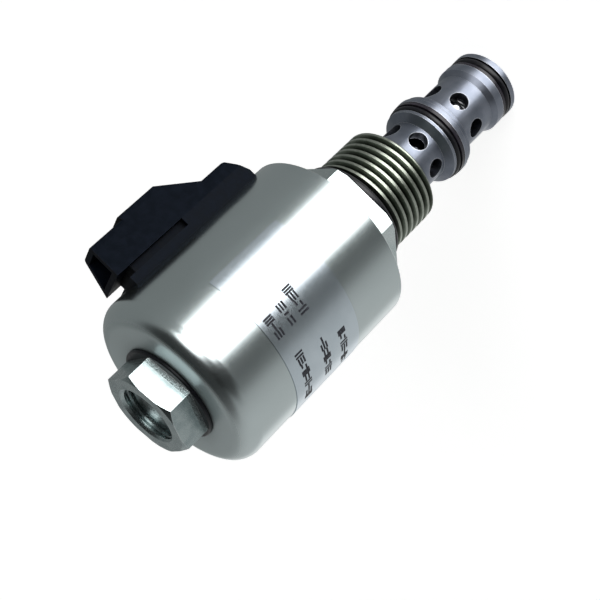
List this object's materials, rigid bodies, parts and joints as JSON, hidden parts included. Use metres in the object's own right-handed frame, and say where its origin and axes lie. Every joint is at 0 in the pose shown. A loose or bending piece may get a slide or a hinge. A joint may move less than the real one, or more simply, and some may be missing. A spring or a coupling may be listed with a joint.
{
  "type": "solenoid cartridge valve",
  "caption": "Screw-in hydraulic cartridge valve: hex adapter with thread, ported steel cage with spool and seals, and a round solenoid coil with side plug connector held by a nut.",
  "frame": {"origin": "on the valve's axis, in the face of the hex that seats on the manifold", "axes": "+Z along the valve's axis toward the coil and its nut, -Z into the cavity to the nose, +X to the plug connector"},
  "size_m": [0.0496, 0.0383, 0.1071],
  "materials": {
    "zinc_steel": "zinc plated, fine satin",
    "thread_zinc": "zinc plated, olive passivate",
    "cage_steel": "phosphate treated, satin",
    "spool_steel": "ground and polished",
    "spring_steel": "drawn wire",
    "seal_rubber": "moulded nitrile, glossy",
    "backup_ptfe": "dark filled PTFE",
    "core_iron": "turned soft iron",
    "tube_stainless": "drawn stainless",
    "bush_bronze": "sintered bronze",
    "bobbin_nylon": "natural glass-filled nylon",
    "copper_winding": "enamelled copper wire, stands in for copper",
    "connector_nylon": "black glass-filled nylon, moulded",
    "tinned_blade": "tinned brass",
    "label_foil": "matt silver foil"
  },
  "bodies": {
    "cartridge": {"adapter_body": "thread_zinc", "cage": "cage_steel", "port_seal": "seal_rubber", "middle_seal": "seal_rubber", "middle_backup_ring": "backup_ptfe", "nose_seal": "seal_rubber", "nose_backup_ring": "backup_ptfe", "spring_seat": "cage_steel", "retaining_ring": "spring_steel", "return_spring": "spring_steel", "pole_piece": "core_iron", "rod_bush": "bush_bronze", "guide_tube": "tube_stainless", "anti_stick_shim": "bush_bronze", "tube_stub": "core_iron"},
    "plunger": {"armature": "core_iron", "push_rod": "spool_steel"},
    "spool_body": {"spool": "spool_steel"},
    "coil": {"coil_can": "zinc_steel", "end_washer": "zinc_steel", "coil_seal": "seal_rubber", "bobbin": "bobbin_nylon", "winding": "copper_winding", "connector_moulding": "connector_nylon", "terminal_1": "tinned_blade", "terminal_2": "tinned_blade", "label_plate": "label_foil"},
    "nut_ring": {"nut_seal": "seal_rubber"},
    "nut": {"coil_nut": "zinc_steel"}
  },
  "joints": [
    {"name": "armature_stroke", "type": "slide", "parent": "cartridge", "child": "plunger", "axis": [0, 0, -1], "range_m": [0, 0.0032]},
    {"name": "spool_stroke", "type": "slide", "parent": "cartridge", "child": "spool_body", "axis": [0, 0, -1], "range_m": [0, 0.0032], "stiffness_N_per_m": 1200, "springref_m": -0.003, "deforming": ["return_spring"]},
    {"name": "coil_swivel", "type": "hinge", "parent": "cartridge", "child": "coil", "pos_m": [0, 0, 0.03], "axis": [0, 0, 1], "continuous": true},
    {"name": "nut_travel", "type": "slide", "parent": "cartridge", "child": "nut_ring", "axis": [0, 0, 1], "range_m": [0, 0.00381]},
    {"name": "nut_turn", "type": "hinge", "parent": "nut_ring", "child": "nut", "pos_m": [0, 0, 0.055], "axis": [0, 0, 1], "range_deg": [0, 1080]}
  ],
  "couplings": [
    {"joint": "spool_stroke", "follows": "armature_stroke", "ratio": 1},
    {"joint": "nut_travel", "follows": "nut_turn", "m_per_rad": 0.00020213}
  ]
}
